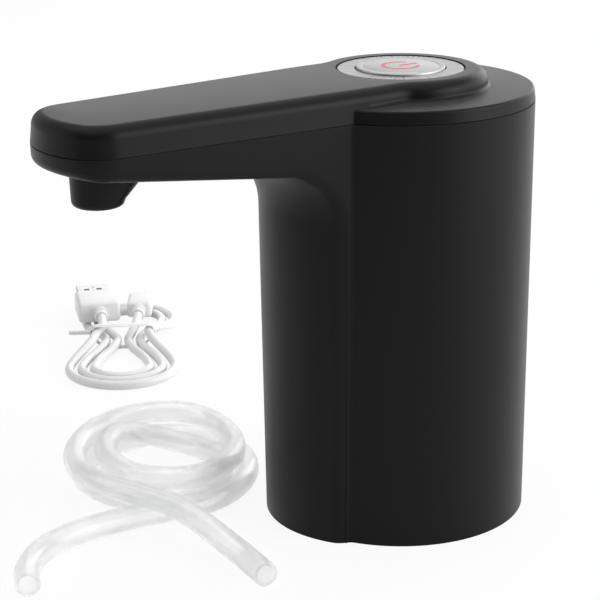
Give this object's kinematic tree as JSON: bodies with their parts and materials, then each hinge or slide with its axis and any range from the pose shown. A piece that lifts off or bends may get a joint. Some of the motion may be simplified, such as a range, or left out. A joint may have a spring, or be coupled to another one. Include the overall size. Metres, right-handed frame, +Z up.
{
  "type": "bottled water pump",
  "caption": "Battery pump that stands on a water bottle's neck, with a long spout arm, a push button, a loose silicone hose and a tied charging cable.",
  "frame": {"origin": "centre of the pump's footprint, on the surface it stands on; the loose hose and cable are not counted", "axes": "+Z up; the spout points along -X, so the pump is longest along X and narrowest along Y"},
  "size_m": [0.1612, 0.2491, 0.1291],
  "materials": {
    "black_abs": "fine matt grain",
    "brushed_aluminium": "brushed",
    "white_abs": "satin",
    "clear_acrylic": "clear",
    "milky_silicone": "milky, soft",
    "board_green": "lacquered",
    "chip_black": "matt",
    "steel": "plain",
    "nickel": "nickel plate",
    "copper": "enamelled wire",
    "ferrite": "matt",
    "cell_wrap": "shrink wrap",
    "lead_red": "satin",
    "lead_black": "satin",
    "white_cord": "smooth"
  },
  "bodies": {
    "pump": {"lower_housing": "black_abs", "top_cover": "black_abs", "spout_nozzle": "black_abs", "neck_collar": "black_abs", "trim_ring": "brushed_aluminium", "power_led": "clear_acrylic", "tact_switch": "chip_black", "control_board": "board_green", "control_chip": "chip_black", "board_screw_1": "steel", "board_screw_2": "steel", "usb_socket": "steel", "usb_tongue": "chip_black", "battery_plug": "white_abs", "motor_plug": "white_abs", "neck_gasket": "milky_silicone", "base_screw_1": "steel", "base_screw_2": "steel", "base_screw_3": "steel", "base_screw_4": "steel", "inlet_fitting": "white_abs", "inlet_tube": "milky_silicone", "outlet_tube": "milky_silicone", "spout_elbow": "white_abs", "pump_head": "white_abs", "valve_plate": "white_abs", "diaphragm": "milky_silicone", "pump_case": "white_abs", "pump_screw_1": "steel", "pump_screw_2": "steel", "pump_screw_3": "steel", "motor_can": "steel", "motor_end_cap": "chip_black", "magnet_front": "ferrite", "magnet_back": "ferrite", "terminal_plus": "nickel", "terminal_minus": "nickel", "battery_cell": "cell_wrap", "battery_tab_top": "nickel", "battery_tab_bottom": "nickel", "battery_lead_red": "lead_red", "battery_lead_black": "lead_black", "motor_lead_red": "lead_red", "motor_lead_black": "lead_black", "suction_hose": "milky_silicone", "charging_cable": "white_cord", "usb_a_grip": "white_cord", "usb_a_shell": "nickel", "micro_usb_grip": "white_cord", "micro_usb_shell": "nickel", "twist_tie": "white_cord"},
    "button": {"power_button": "brushed_aluminium", "light_guide": "clear_acrylic", "switch_plunger": "white_abs"},
    "rotor": {"motor_shaft": "steel", "armature": "copper", "crank_wheel": "white_abs", "crank_pin": "steel"},
    "wobble": {"wobble_plate": "white_abs"}
  },
  "joints": [
    {"name": "button_press", "type": "slide", "parent": "pump", "child": "button", "axis": [0, 0, -1], "range_m": [0, 0.0005], "stiffness_N_per_m": 2000, "springref_m": -0.0003},
    {"name": "motor_spin", "type": "hinge", "parent": "pump", "child": "rotor", "pos_m": [0.0319, 0, 0.0634], "axis": [0, 0, 1], "continuous": true},
    {"name": "wobble_turn", "type": "hinge", "parent": "rotor", "child": "wobble", "pos_m": [0.0319, 0, 0.0634], "axis": [0.1219, 0, 0.9925], "continuous": true}
  ],
  "couplings": [
    {"joint": "wobble_turn", "follows": "motor_spin", "ratio": -1}
  ]
}
